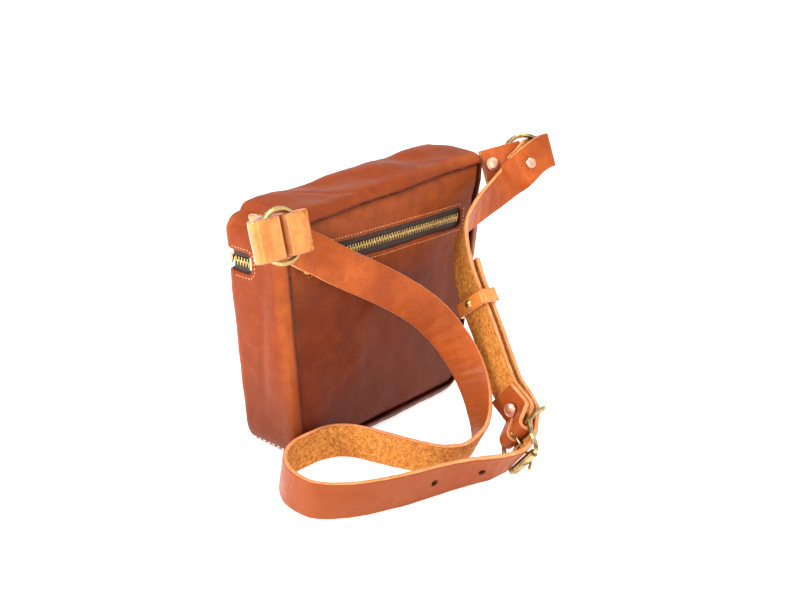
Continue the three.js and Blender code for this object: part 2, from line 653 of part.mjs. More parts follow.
// ---------------------------------------------------------------- the long end of the strap
// It turns round the left ring, comes down past the pouch, lies on its edge on the floor in a loop, and
// passes through the buckle.
const onTheWay = [
  [vec(-80, -34.4, 146.5), vec(11.6, 1.6, 21.9)],
  [vec(-63.3, -38.2, 135.8), vec(12.6, -1.5, 21.6)],
  [vec(-38.1, -44, 121.3), vec(12.2, -3.2, 21.7)],
  [vec(-17.7, -49.8, 108.3), vec(12.6, -5.7, 20.8)],
  [vec(-2.2, -56.2, 96.3), vec(13.7, -9.2, 18.9)],
  [vec(10.5, -64.9, 80.5), vec(13.5, -13.7, 16)],
  [vec(17.9, -76.3, 61.7), vec(9.8, -18.5, 13.9)],
  [vec(17.9, -87.3, 45), vec(3.4, -20.5, 13.8)],
  [vec(12.5, -97, 31.7), vec(-2, -19.2, 15.9)],
  [vec(3.8, -104.8, 22), vec(-6.1, -15.5, 18.7)],
  [vec(-6, -108, 16.4), vec(-7.3, -11.9, 20.8)],
  [vec(-21, -107.6, 13), vec(-6.8, -10.1, 22.3)],
  [vec(-31.5, -101.3, 12.6), vec(-7, -7.4, 22.8)],
  [vec(-39, -90.6, 12.6), vec(-5.3, -3.8, 24.1)],
  [vec(-44.5, -76.1, 12.6), vec(-3, -1.4, 24.8)],
  [vec(-48.5, -60, 12.6), vec(-2, -0.7, 24.9)],
  [vec(-54, -42, 12.6), vec(-2.3, -1, 24.9)],
  [vec(-61.5, -33.5, 12.6), vec(-2, -1.5, 24.9)],
  [vec(-71, -29.5, 12.6), vec(-1, -2, 24.9)],
  [vec(-83, -28.6, 12.6), vec(0.3, -2.5, 24.8)],
  [vec(-99, -29.8, 12.6), vec(2.2, -2.5, 24.8)],
  [vec(-113.5, -38, 12.6), vec(3, -1.5, 24.8)],
  [vec(-124, -54, 12.6), vec(2, -0.8, 24.9)],
  [vec(-125.8, -72, 12.6), vec(0.4, -0.2, 25)],
  [vec(-122.2, -80.4, 12.6), vec(-0.8, -0.6, 25)],
  [vec(-110.3, -92.3, 12.6), vec(-1.9, -2.5, 24.9)],
  [vec(-91.8, -102.9, 12.6), vec(-1.9, -4.1, 24.7)],
  [vec(-72, -110.9, 12.6), vec(-1.7, -4.9, 24.5)],
  [vec(-51.5, -117.6, 12.6), vec(-1.8, -6.4, 24.2)],
  [vec(-34, -126, 13.3), vec(-1.9, -9, 23.2)],
  [vec(-20.5, -135.5, 15), vec(-1.2, -13, 21)],
];
const besideBuckle = nearBuckle([[19, 3.8], [10, 6.6], [0, 8], [-10, 7.2], [-19, 6]]);
const besideStrap = { gap: layer + 1.9, keeper: 100, tip: 130 };
const besideStations = [30, 38, 50, 65, 80, besideStrap.keeper, 115, besideStrap.tip]
  .map((reach) => stationAt(toBuckleStations, atBar, -reach));

// Its short end is tucked behind the wire; the rest goes through the ring and away behind that.
const roundLeftRing = [
  ...aroundRing(leftRing, [
    [-12.5, -wrap], [-farWire, -wrap], ...roundOutside(-1), [-farWire, wrap], [-nearWire, wrap],
    ...throughRing(-1).slice(0, 2), [-2.9, -3.3, -0.6],
  ]),
  ...aroundRing(leftRing, [[-6.8, -6.1, -2.4]], unit(0.1, 0.17, 0.97)),
  ...aroundRing(leftRing, [[-12.4, -8, -5.4]], unit(0.26, 0.2, 0.93)),
  ...aroundRing(leftRing, [[-20, -9, -10]], unit(0.38, 0.14, 0.9)),
];

const longStations = stationsThrough([
  ...roundLeftRing,
  ...onTheWay,
  ...besideBuckle,
  ...beside(besideStations, besideStrap.gap),
], 2);
// The hole that holds the prong is wider than the others, so that the prong can lift a little in it.
const hole = { radius: 2, spacing: 35, prongRadius: 2.95, depth: 8 };
const prongHolePlace = nearest(longStations, along(buckleFrame, 8.6, 0, 7.2));

function longStrap() {
  const holes = [-2, -1, 1, 2].map((step) => punch(
    stationAt(longStations, prongHolePlace, step * hole.spacing), 0, hole.radius, hole.depth));
  const prongHole = punch(prongHolePlace, 0, hole.prongRadius, hole.depth);
  return [...holes, prongHole, strapRivetHole()].reduce(
    (leather, cut) => leather.subtract(cut), strapSolid(thinned(longStations)));
}

// A rivet near the strap's lower edge is fixed from its rough side, and doesn't show on its smooth side.
const strapRivet = { place: nearest(longStations, onTheWay[0][0]), across: -9.5, deep: 0.8 };

function strapRivetHole() {
  const { place, across, deep } = strapRivet;
  const middle = station(along(place, 0, 0, 2.5 - deep - 0.2), place.along, place.across);
  return punch(middle, across, rivet.shank + gap, 5);
}

addPart('long_strap', longStrap(), strapLeather);
addPart('long_strap_rivet', rivetSolid(
  strapRivet.place, strap.thickness / 2, strapRivet.deep,
  { across: strapRivet.across, head: 4, washer: false }), brass);

// ---------------------------------------------------------------- the keeper
const keeperPlace = (() => {
  const strapPlace = stationAt(toBuckleStations, atBar, -besideStrap.keeper);
  return station(along(strapPlace, 0, 0, besideStrap.gap / 2), strapPlace.along, strapPlace.across);
})();
const keeperInside = {
  across: strap.width / 2 + 0.7,
  out: besideStrap.gap / 2 + strap.thickness / 2 + 0.6,
};

// The middle of the keeper's wall on the strap's rough side, where its two ends are riveted together.
const keeperWall = station(along(keeperPlace, 0, 0, -keeperInside.out - keeper.thickness / 2),
  keeperPlace.along, keeperPlace.across);

function keeperLoop() {
  const { width, thickness } = keeper;
  const loop = (grow, length) => {
    const [a, o] = [keeperInside.across + grow, keeperInside.out + grow];
    const geometry = new THREE.ExtrudeGeometry(rectangle(-a, -o, a, o, 1.5 + grow / 2), {
      depth: length, bevelEnabled: false, curveSegments: 3 });
    const turnUp = new THREE.Matrix4().makeBasis(vec(0, 1, 0), vec(0, 0, 1), vec(1, 0, 0));
    return toSolid(onStation(geometry.applyMatrix4(turnUp).translate(-length / 2, 0, 0), keeperPlace));
  };
  return loop(thickness, width)
    .subtract(loop(0, width + 2))
    .subtract(punch(keeperWall, 0, rivet.shank + gap, 4));
}

addPart('keeper_loop', keeperLoop(), strapLeather);
addPart('keeper_rivet', rivetSolid(
  keeperWall, keeper.thickness / 2, keeper.thickness / 2 - gap,
  { head: 3.2, washer: false, flip: true }), brass);

export default group;
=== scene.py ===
import heapq
import math

import bmesh
import bpy
import numpy as np
from mathutils import Matrix, Vector, noise
from mathutils.bvhtree import BVHTree


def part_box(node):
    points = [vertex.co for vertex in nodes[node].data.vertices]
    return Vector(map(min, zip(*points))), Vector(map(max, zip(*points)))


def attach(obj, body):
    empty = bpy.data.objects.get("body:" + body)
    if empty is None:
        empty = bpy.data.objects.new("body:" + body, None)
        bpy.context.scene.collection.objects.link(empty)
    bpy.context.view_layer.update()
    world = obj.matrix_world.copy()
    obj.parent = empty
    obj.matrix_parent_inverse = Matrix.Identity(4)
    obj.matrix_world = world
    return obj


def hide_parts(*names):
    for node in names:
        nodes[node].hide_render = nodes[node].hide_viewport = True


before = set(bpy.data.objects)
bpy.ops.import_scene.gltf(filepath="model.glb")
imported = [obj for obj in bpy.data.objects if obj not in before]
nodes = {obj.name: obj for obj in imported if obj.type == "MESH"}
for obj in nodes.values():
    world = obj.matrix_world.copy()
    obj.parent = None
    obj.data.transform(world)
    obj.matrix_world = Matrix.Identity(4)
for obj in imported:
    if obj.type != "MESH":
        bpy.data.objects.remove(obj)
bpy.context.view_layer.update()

# ---------------------------------------------------------------- driving dimensions, in metres
MM = 0.001
POUCH_VOXEL = 1.0 * MM
STRAP_VOXEL = 0.62 * MM
TAPE_VOXEL = 0.5 * MM
LINING_VOXEL = 1.2 * MM
LEATHER_GROW = 0.28 * MM  # closes the gaps between neighbouring panels
FLOOR_GAP = 0.1 * MM  # no leather or thread goes lower than this
STRAP_THICKNESS = 3.6 * MM
KEEPER_THICKNESS = 2.4 * MM
WHOLE_PIECE = 1.0  # a radius that takes in any piece
LINED_ROLL = 19 * MM  # radius round the left ring within which the strap's roll is smooth on both sides and painted paler as a highlight
RIM_REACH, HOLE_REACH, HOLLOW_REACH, SEAM_REACH = 1.3 * MM, 1.6 * MM, 7.5 * MM, 5 * MM
THREAD_SIDES, THREAD_RINGS = 6, 5
THREAD_STEP = 0.4 * MM  # how finely a seam is followed
SEAM_INSET = 2.4 * MM  # from a zip's slot to its stitches
ZIP_BEND = 4.7 * MM  # radius of the main zip's bends round the front corners
SEAM_TO_SIDE = 7 * MM  # from the pouch's side to the back panel's seam
ZIGZAG_RADIUS = 0.45 * MM
STITCH = {"length": 1.7 * MM, "space": 1.1 * MM, "radius": 0.36 * MM, "sunk": 0.05 * MM}
BOTTOM_STITCH = {"length": 2.9 * MM, "space": 1.5 * MM, "radius": 0.55 * MM, "sunk": 0.15 * MM}
TOOTH = {"pitch": 2.6 * MM, "long": 3.6 * MM, "wide": 0.8 * MM, "thick": 1.6 * MM, "offset": 1.0 * MM}

# The studio: the floor reaches ROOM from the bag, and two of its walls stand nearer.
ROOM, NEAR_WALL, WALL_HEIGHT = 6, 3.5, 4
FLOOR_DROP = 0.4 * MM  # keeps the floor from touching the bag's base

# Soft waves along the pouch's top, each [height, place along x, half its length], in mm.
CROWN_WAVES = ((2.8, 16, 22), (1.6, 74, 18), (-2.6, -34, 18), (2.2, -74, 13), (-1.8, 47, 10), (-1.5, 100, 10))

# Studio lights, each [name, place, aim, size, power].
LIGHTS = (
    ("key", (-1.2, 0.45, 0.8), (0, 0, 0.08), (0.3, 1.1), 23),
    ("strip", (-0.75, -1.0, 0.5), (-0.12, -0.05, 0.16), (0.08, 1.2), 6.5),
    ("top", (0.0, -0.3, 1.5), (0, 0, 0.1), (1.0, 0.6), 12),
    ("front", (0.55, -1.1, 1.2), (0, -0.05, 0.12), (0.5, 0.8), 4.5),
)


def node_box(name):
    low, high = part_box(name)
    return Vector(low), Vector(high)


back_low = node_box("back_panel")[0]
pocket_low, pocket_high = node_box("pocket_zip_teeth")
main_low, main_high = node_box("main_zip_teeth")
pouch_low = node_box("bottom_panel")[0]
pouch_high = node_box("top_panel")[1]
left_x = node_box("side_gusset_left")[0].x
right_x = node_box("side_gusset_right")[1].x
back_y = back_low.y
front_y = node_box("front_panel")[1].y
half_depth = (front_y - back_y) / 2
pouch_top = pouch_high.z


# ---------------------------------------------------------------- node materials
class Shader:
    """A small builder for one material's nodes."""

    def __init__(self, name, roughness=0.5, metallic=0.0):
        self.material = bpy.data.materials.new(name)
        self.material.use_nodes = True
        self.tree = self.material.node_tree
        self.surface = self.tree.nodes["Principled BSDF"]
        self.surface.inputs["Roughness"].default_value = roughness
        self.surface.inputs["Metallic"].default_value = metallic
        self.place = self.add("ShaderNodeTexCoord").outputs["Object"]

    def add(self, kind, **settings):
        node = self.tree.nodes.new(kind)
        for name, value in settings.items():
            setattr(node, name, value)
        return node

    def link(self, output, target):
        self.tree.links.new(output, target)

    def feed(self, value, target):
        """A number or colour is set on the socket itself; an output is linked to it."""
        if isinstance(value, bpy.types.NodeSocket):
            self.link(value, target)
        else:
            target.default_value = value

    def noise(self, scale, detail, roughness=0.55, distortion=0.0, stretch=None):
        node = self.add("ShaderNodeTexNoise")
        node.inputs["Scale"].default_value = scale
        node.inputs["Detail"].default_value = detail
        node.inputs["Roughness"].default_value = roughness
        node.inputs["Distortion"].default_value = distortion
        self.link(self.stretched(stretch), node.inputs["Vector"])
        return node.outputs["Fac"]

    def stretched(self, stretch):
        if stretch is None:
            return self.place
        mapping = self.add("ShaderNodeMapping")
        mapping.inputs["Scale"].default_value = stretch
        self.link(self.place, mapping.inputs["Vector"])
        return mapping.outputs["Vector"]

    def cells(self, scale):
        node = self.add("ShaderNodeTexVoronoi", feature="SMOOTH_F1")
        node.inputs["Scale"].default_value = scale
        self.link(self.place, node.inputs["Vector"])
        return node.outputs["Distance"]

    def height(self):
        node = self.add("ShaderNodeSeparateXYZ")
        self.link(self.place, node.inputs[0])
        return node.outputs["Z"]

    def range(self, value, low, high, to_low=0.0, to_high=1.0):
        node = self.add("ShaderNodeMapRange", clamp=True)
        self.link(value, node.inputs["Value"])
        ends = {"From Min": low, "From Max": high, "To Min": to_low, "To Max": to_high}
        for name, number in ends.items():
            node.inputs[name].default_value = number
        return node.outputs["Result"]

    def math(self, operation, a, b):
        node = self.add("ShaderNodeMath", operation=operation)
        self.feed(a, node.inputs[0])
        self.feed(b, node.inputs[1])
        return node.outputs[0]

    def mix(self, share, a, b):
        """Colour a where share is 0 and b where it is 1."""
        node = self.add("ShaderNodeMix", data_type="RGBA")
        self.feed(share, node.inputs["Factor"])
        self.feed(a, node.inputs[6])
        self.feed(b, node.inputs[7])
        return node.outputs[2]

    def attribute(self, name):
        return self.add("ShaderNodeAttribute", attribute_name=name).outputs["Fac"]

    def bump(self, height, strength, distance, below=None):
        node = self.add("ShaderNodeBump")
        node.inputs["Strength"].default_value = strength
        node.inputs["Distance"].default_value = distance
        self.link(height, node.inputs["Height"])
        if below is not None:
            self.link(below, node.inputs["Normal"])
        return node.outputs["Normal"]

    def finish(self, color=None, roughness=None, normal=None, **others):
        if color is not None:
            self.feed(color, self.surface.inputs["Base Color"])
        if roughness is not None:
            self.feed(roughness, self.surface.inputs["Roughness"])
        if normal is not None:
            self.link(normal, self.surface.inputs["Normal"])
        for name, value in others.items():
            self.surface.inputs[name.replace("_", " ")].default_value = value
        return self.material


def rgb(red, green, blue):
    """An sRGB colour of 0 to 255 as linear RGBA."""
    def linear(value):
        share = value / 255
        return share / 12.92 if share <= 0.04045 else ((share + 0.055) / 1.055) ** 2.4
    return (linear(red), linear(green), linear(blue), 1.0)


def bag_leather(name, dark, middle, light, worn_and_top_light, bottom_shade):
    """Waxed, mottled leather with fine grain: worn on its rims, painted paler up high as light from above and
    painted deeper down low as shade, painted dark as shade in the back seam's groove, and dark along its
    base.
    """
    s = Shader(name)
    cloud = s.noise(26, 6, 0.6, 0.6)
    blotch = s.noise(95, 5, 0.62, 0.3)
    speck = s.noise(620, 3, 0.6)
    base = s.mix(s.range(cloud, 0.3, 0.72, 0.25, 0.95), dark, middle)
    base = s.mix(s.math("MULTIPLY", s.range(blotch, 0.46, 0.76), 0.4), base, light)
    base = s.mix(s.math("MULTIPLY", s.range(speck, 0.5, 0.72), 0.3), base, dark)
    wear = s.math("MULTIPLY", s.attribute("wear"), s.range(blotch, 0.3, 0.6, 0.45, 1.0))
    base = s.mix(s.math("MULTIPLY", wear, 0.6), base, worn_and_top_light)
    scratch = s.noise(55, 5, 0.7, 2.5, (1.0, 1.0, 0.22))
    line = s.range(scratch, 0.495, 0.505)
    line = s.math("MULTIPLY", line, s.math("SUBTRACT", 1.0, line))
    base = s.mix(s.math("MULTIPLY", line, 0.7), base, light)
    # Painted light and shade: paler toward the top, where light from above falls (attribute high), and darker
    # toward the bottom (attribute low).
    high = s.math("MULTIPLY", s.attribute("high"), s.range(blotch, 0.3, 0.6, 0.55, 0.95))
    low = s.math("MULTIPLY", s.attribute("low"), s.range(blotch, 0.3, 0.6, 0.4, 0.75))
    base = s.mix(high, base, worn_and_top_light)
    base = s.mix(low, base, bottom_shade)
    # Painted shade: dark in the back seam's groove; the leather is also darkened along its bottom few
    # millimetres.
    base = s.mix(s.math("MULTIPLY", s.attribute("seam"), 0.8), base, rgb(58, 24, 14))
    grain = s.cells(780)
    pores = s.noise(1500, 2, 0.6)
    folds = s.noise(150, 4, 0.6, 1.0)
    normal = s.bump(folds, 0.16, 0.0016)
    normal = s.bump(grain, 0.22, 0.00035, normal)
    normal = s.bump(pores, 0.12, 0.00015, normal)
    rough = s.range(blotch, 0.3, 0.7, 0.36, 0.52)
    return s.finish(
        base, rough, normal, Coat_Weight=0.04, Coat_Roughness=0.19, Specular_IOR_Level=0.1)


def strap_leather():
    """Orange vegetable-tanned leather: smooth grain side, rough flesh side, burnished cut edges.
    It is glossier, and painted paler as a highlight, where the attribute lined is 1, and painted browner and
    darker near the floor as shade."""
    s = Shader("strap_leather")
    cloud = s.noise(30, 4, 0.55, 0.5)
    blotch = s.noise(150, 6, 0.68, 0.6)
    speck = s.noise(800, 4, 0.7)
    grain_side = s.mix(s.range(cloud, 0.36, 0.66), rgb(152, 66, 18), rgb(184, 88, 30))
    grain_side = s.mix(s.math("MULTIPLY", s.range(blotch, 0.5, 0.68), 0.6), grain_side, rgb(148, 66, 32))
    grain_side = s.mix(s.math("MULTIPLY", s.range(speck, 0.52, 0.68), 0.4), grain_side, rgb(124, 52, 24))
    fibre = s.noise(430, 6, 0.78, 0.8)
    # Painted highlight: the lined roll is painted paler, in place of the light it catches.
    painted_roll_highlight = s.mix(s.range(blotch, 0.4, 0.7), rgb(212, 124, 50), rgb(228, 146, 70))
    grain_side = s.mix(s.attribute("lined"), grain_side, painted_roll_highlight)
    # Painted shade: the strap is darker and browner near the floor.
    near_floor = s.range(s.height(), 26 * MM, 70 * MM, 1.0, 0.0)
    painted_floor_shade = s.math("MULTIPLY", near_floor, s.range(cloud, 0.3, 0.6, 0.5, 1.0))
    grain_side = s.mix(s.math("MULTIPLY", painted_floor_shade, 0.65), grain_side, rgb(124, 62, 34))
    flesh_side = s.mix(s.range(fibre, 0.38, 0.62), rgb(150, 82, 26), rgb(226, 156, 74))
    flesh_side = s.mix(s.math("MULTIPLY", s.range(blotch, 0.42, 0.7), 0.35), flesh_side, rgb(176, 100, 36))
    flesh = s.attribute("flesh")
    rim = s.attribute("rim")
    rim_color = s.mix(s.range(blotch, 0.4, 0.7), rgb(216, 130, 78), rgb(238, 162, 110))
    color = s.mix(flesh, grain_side, flesh_side)
    color = s.mix(s.range(rim, 0.38, 0.62), color, rgb(128, 58, 28))
    color = s.mix(s.range(rim, 0.66, 0.84), color, rim_color)
    # Painted shade where the strap nearly touches the nodes beside it.
    color = s.mix(s.math("MULTIPLY", s.attribute("contact_shade"), 0.75), color, rgb(112, 46, 18))
    color = s.mix(s.range(s.attribute("hole"), 0.35, 0.7), color, rgb(96, 42, 20))
    creases = s.noise(240, 4, 0.6, 1.2)
    cell = s.cells(950)
    smooth = s.math("ADD", s.math("MULTIPLY", creases, 0.55), s.math("MULTIPLY", cell, 0.35))
    rough_height = s.math("ADD", s.math("MULTIPLY", fibre, 1.9), s.noise(1500, 3, 0.7))
    height = s.math("ADD", s.math("MULTIPLY", smooth, s.math("SUBTRACT", 1.0, flesh)),
                    s.math("MULTIPLY", rough_height, flesh))
    normal = s.bump(height, 0.4, 0.0008)
    rough = s.math("ADD", s.range(blotch, 0.3, 0.7, 0.3, 0.42), s.math("MULTIPLY", flesh, 0.5))
    rough = s.math("SUBTRACT", rough, s.math("MULTIPLY", s.attribute("lined"), 0.06))
    s.feed(s.range(s.attribute("lined"), 0, 1, 0.08, 1.0), s.surface.inputs["Coat Weight"])
    return s.finish(color, rough, normal, Coat_Roughness=0.19, Specular_IOR_Level=0.12)


def metal(name, clean, tarnished, roughness, patina):
    """Metal whose tone and gloss vary with handling."""
    s = Shader(name, metallic=1.0)
    cloud = s.noise(210, 5, 0.65, 0.4)
    fine = s.noise(1400, 3, 0.7)
    color = s.mix(s.math("MULTIPLY", s.range(cloud, 0.4, 0.68), patina), clean, tarnished)
    color = s.mix(s.math("MULTIPLY", s.range(fine, 0.55, 0.75), patina * 0.6), color, tarnished)
    normal = s.bump(fine, 0.08, 0.0002)
    rough = s.range(cloud, 0.3, 0.7, roughness, roughness + 0.16)
    return s.finish(color, rough, normal)


def woven(name, dark, light, pitch):
    """A tight weave of threads, pitch metres apart."""
    s = Shader(name, roughness=0.85)
    waves = []
    for axis in ("X", "Y", "Z"):
        node = s.add("ShaderNodeTexWave", wave_type="BANDS", bands_direction=axis)
        node.inputs["Scale"].default_value = 0.314 / pitch
        node.inputs["Distortion"].default_value = 0.25
        s.link(s.place, node.inputs["Vector"])
        waves.append(node.outputs["Fac"])
    thread = s.math("MULTIPLY", s.math("MAXIMUM", waves[0], waves[1]), waves[2])
    fuzz = s.noise(700, 3, 0.7)
    color = s.mix(s.math("MULTIPLY", s.math("ADD", thread, fuzz), 0.5), dark, light)
    return s.finish(color, None, s.bump(thread, 0.5, 0.0004), Sheen_Weight=0.15)


def thread_material(name, dark, light):
    """Waxed thread with a visible twist."""
    s = Shader(name, roughness=0.65)
    twist = s.noise(1800, 2, 0.6)
    return s.finish(s.mix(s.range(twist, 0.35, 0.65), dark, light), None, s.bump(twist, 0.4, 0.0002))


# The last two colours of each are for worn rims and the painted top light, and for the painted shade low
# down.
BAG = bag_leather("bag_leather", rgb(114, 44, 14), rgb(138, 58, 20), rgb(160, 76, 32), rgb(188, 98, 46),
                  rgb(80, 32, 18))
BACK = bag_leather("back_leather", rgb(86, 30, 8), rgb(108, 42, 12), rgb(140, 62, 22), rgb(172, 84, 34),
                   rgb(84, 32, 14))
STRAP = strap_leather()
BRASS = metal("brass", rgb(222, 194, 128), rgb(160, 128, 72), 0.26, 0.45)
PALE_METAL = metal("pale_brass", rgb(226, 208, 164), rgb(180, 156, 106), 0.3, 0.4)
OLD_BRASS = metal("old_brass", rgb(200, 176, 124), rgb(82, 64, 36), 0.2, 0.9)
COPPER = metal("copper", rgb(232, 178, 150), rgb(176, 110, 82), 0.34, 0.5)
TAPE = woven("zip_tape", rgb(44, 26, 22), rgb(82, 54, 44), 0.5 * MM)
LINING = woven("lining", rgb(52, 38, 32), rgb(84, 64, 54), 0.7 * MM)
TAN_THREAD = thread_material("tan_thread", rgb(196, 124, 76), rgb(232, 172, 120))
PALE_THREAD = thread_material("pale_thread", rgb(206, 178, 146), rgb(238, 218, 190))
DARK_THREAD = thread_material("dark_thread", rgb(48, 30, 24), rgb(86, 56, 42))


# ---------------------------------------------------------------- mesh helpers
def new_object(name, vertices, faces, material):
    mesh = bpy.data.meshes.new(name)
    mesh.from_pydata(vertices, [], faces)
    mesh.update()
    obj = bpy.data.objects.new(name, mesh)
    bpy.context.scene.collection.objects.link(obj)
    mesh.materials.append(material)
    mesh.shade_smooth()
    return obj


def joined(name, node_names, material):
    """One mesh made from copies of these frame nodes, welded where their points meet."""
    vertices, faces = [], []
    for node_name in node_names:
        node = nodes[node_name]
        first = len(vertices)
        vertices += [node.matrix_world @ v.co for v in node.data.vertices]
        faces += [[first + i for i in polygon.vertices] for polygon in node.data.polygons]
    obj = new_object(name, vertices, faces, material)
    shape = bmesh.new()
    shape.from_mesh(obj.data)
    bmesh.ops.remove_doubles(shape, verts=shape.verts, dist=0.002 * MM)
    shape.to_mesh(obj.data)
    shape.free()
    return obj


def apply_modifiers(obj):
    shaped = obj.evaluated_get(bpy.context.evaluated_depsgraph_get())
    mesh = bpy.data.meshes.new_from_object(shaped)
    obj.modifiers.clear()
    obj.data = mesh
    return obj


def remeshed(obj, voxel, grow=0.0, relax=0):
    """The object as one closed skin of voxels, grown outward first and smoothed relax times after."""
    if grow:
        swell = obj.modifiers.new("grow", "DISPLACE")
        swell.strength = grow
        swell.mid_level = 0
    remesh = obj.modifiers.new("voxels", "REMESH")
    remesh.mode = "VOXEL"
    remesh.voxel_size = voxel
    if relax:
        soften = obj.modifiers.new("soften", "SMOOTH")
        soften.factor = 0.5
        soften.iterations = relax
    apply_modifiers(obj)
    obj.data.shade_smooth()
    return obj


def points_of(obj):
    found = np.empty(len(obj.data.vertices) * 3)
    obj.data.vertices.foreach_get("co", found)
    return found.reshape(-1, 3)


def normals_of(obj):
    found = np.empty(len(obj.data.vertices) * 3)
    obj.data.vertices.foreach_get("normal", found)
    return found.reshape(-1, 3)


def set_points(obj, found):
    obj.data.vertices.foreach_set("co", np.asarray(found).ravel())
    obj.data.update()


def paint(obj, name, values):
    layer = obj.data.attributes.new(name, "FLOAT", "POINT")
    layer.data.foreach_set("value", np.asarray(values, np.float32))


def stands_for(obj, node_names, slot):
    """A piece of the pouch's body that takes the place of these nodes."""
    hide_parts(*node_names)
    return detail(obj, slot)


def detail(obj, slot):
    """A piece of the pouch's body that the frame hasn't got."""
    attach(obj, "pouch")
    return obj


def bump_at(value, middle, width):
    """A smooth hill 1 high at middle and gone about twice the width away."""
    return np.exp(-((value - middle) / width) ** 2)


def smooth_step(value, low, high):
    share = np.clip((value - low) / (high - low), 0, 1)
    return share * share * (3 - 2 * share)


def tree_of(mesh, faces=None):
    """A search tree of the mesh's surface, or of these faces of it."""
    chosen = mesh.polygons if faces is None else [mesh.polygons[i] for i in faces]
    return BVHTree.FromPolygons([v.co for v in mesh.vertices], [p.vertices for p in chosen])


def nearness(tree, places, reach):
    """1 where a place touches the tree's surface, down to 0 at reach."""
    if tree is None:
        return [0.0] * len(places)
    found = (tree.find_nearest(place, reach)[3] for place in places)
    return [0.0 if gap is None else 1 - gap / reach for gap in found]


# ---------------------------------------------------------------- the pouch
def half_width(z):
    """The pouch's half width at a height, wider at the top."""
    share = np.clip((z - pouch_low.z) / (pouch_top - pouch_low.z), 0, 1)
    return 0.09 + 0.014 * share


def folded(points):
    """Where leather at these points goes: the pouch sags, bulges and folds softly."""
    x, y, z = points.T / MM
    width = half_width(points[:, 2]) / MM
    depth = half_depth / MM
    across = np.clip(1 - (x / width) ** 2, 0, 1)
    inside_y = np.clip(1 - (y / depth) ** 2, 0, 1)
    moved = np.zeros_like(points)
    # left top corner: rounder than the flat pattern
    to_x, to_z = -88 - x, z - 150
    reach = np.hypot(np.maximum(to_x, 0), np.maximum(to_z, 0))
    over = np.where((to_x > 0) & (to_z > 0), np.maximum(reach - 14.5, 0), 0)
    share = over / np.maximum(reach, 1)
    moved[:, 0] += share * to_x
    moved[:, 2] -= share * to_z
    # top: a domed ridge with soft waves along it
    crown = smooth_step(z, 146, 172) * inside_y
    wave = sum(rise * bump_at(x, middle, half_length) for rise, middle, half_length in CROWN_WAVES)
    moved[:, 2] += crown * (1.6 + wave)
    moved[:, 2] += smooth_step(z, 150, 170) * 1.1 * np.sin(x / 11 + y / 9) * inside_y
    slant = x + 1.1 * y
    creases = bump_at(slant, -52, 5) + bump_at(slant, 34, 6)
    moved[:, 2] -= smooth_step(z, 150, 170) * inside_y * 1.4 * creases
    moved[:, 1] -= smooth_step(z, 150, 168) * smooth_step(-y, 12, 24) * (0.8 + 0.9 * np.sin(x / 13 + 1))
    # back panel: leans and dents a little between its seams
    on_back = smooth_step(-y, depth - 6, depth - 1)
    dent = across * bump_at(z, 80, 60)
    moved[:, 1] += on_back * (-1.0 * dent + 1.3 * bump_at(x + 0.5 * z, 20, 16) * bump_at(z, 90, 60)
                              - 0.9 * bump_at(x - 0.35 * z, -50, 12) * bump_at(z, 100, 45))
    # front panel: fuller, since the pouch's contents lean on it
    on_front = smooth_step(y, depth - 6, depth - 1)
    moved[:, 1] += on_front * across * (3.0 * bump_at(z, 62, 50) + 0.8 * np.sin(x / 17 + z / 23))
    # sides: soft upright folds, a waist low down, and the right side fuller beside the buckle strap
    for side in (-1, 1):
        on_side = smooth_step(side * x, width - 7, width - 2)
        fold = (1.5 * bump_at(z, 96, 34) - 1.2 * bump_at(z, 30, 22)) * inside_y
        ripple = 0.8 * np.sin(y / 5.5 + 0.05 * z) * inside_y * bump_at(z, 80, 50)
        crease = -1.5 * bump_at(y + 0.12 * z, 6, 4) * bump_at(z, 78, 38)
        full = 5.0 * bump_at(z, 122, 30) if side > 0 else 0
        tuck = -1.7 * bump_at(z - 0.06 * y, 160 if side < 0 else 168, 3.2) * bump_at(y, 4, 24)
        moved[:, 0] += side * on_side * (full + fold + ripple + crease + tuck)
    return points + moved * MM


def wavelets(points, size, height, seed):
    """Small irregular waves of the leather, as heights."""
    shift = Vector((seed, seed * 2.3, seed * 3.7))
    return np.array([noise.fractal(Vector(p) / size + shift, 0.8, 2.0, 3) for p in points]) * height


def leather_piece(name, node_names, material, slot, relax, rim, painted_top_light=0.0):
    """Frame panels as one soft leather piece; rim is how far it stands out beside the back panel's
    seam, and painted_top_light is how much the leather is painted paler toward its top, as light from above."""
    obj = joined(name, node_names, material)
    remeshed(obj, POUCH_VOXEL, LEATHER_GROW, relax)
    rest = points_of(obj)
    paint(obj, "wear", edge_wear(rest))
    # Painted light: paler toward the top, as light from above (high); painted shade: darker toward the bottom
    # (low).
    paint(obj, "high", painted_top_light * smooth_step(rest[:, 2], 100 * MM, 150 * MM))
    paint(obj, "low", smooth_step(-rest[:, 2], -85 * MM, -4 * MM))
    # Painted shade: the seam mask darkens the leather in the back seam's groove, and the base band darkens
    # its bottom few millimetres.
    seam = np.array(nearness(BACK_SEAM, [Vector(point) for point in rest], SEAM_REACH))
    base = 0.8 * smooth_step(-rest[:, 2], -5.5 * MM, -2.5 * MM)
    paint(obj, "seam", np.maximum(smooth_step(seam, 0.45, 0.95), base))
    found = folded(rest) + normals_of(obj) * wavelets(rest, 26 * MM, 0.5 * MM, 3)[:, None]
    found[:, 1] -= rim * smooth_step(seam, 0.1, 0.9)
    found[:, 2] = np.maximum(found[:, 2], FLOOR_GAP)
    set_points(obj, found)
    soften = obj.modifiers.new("soften", "SMOOTH")
    soften.factor, soften.iterations = 0.5, 2
    apply_modifiers(obj)
    return stands_for(obj, node_names, slot)


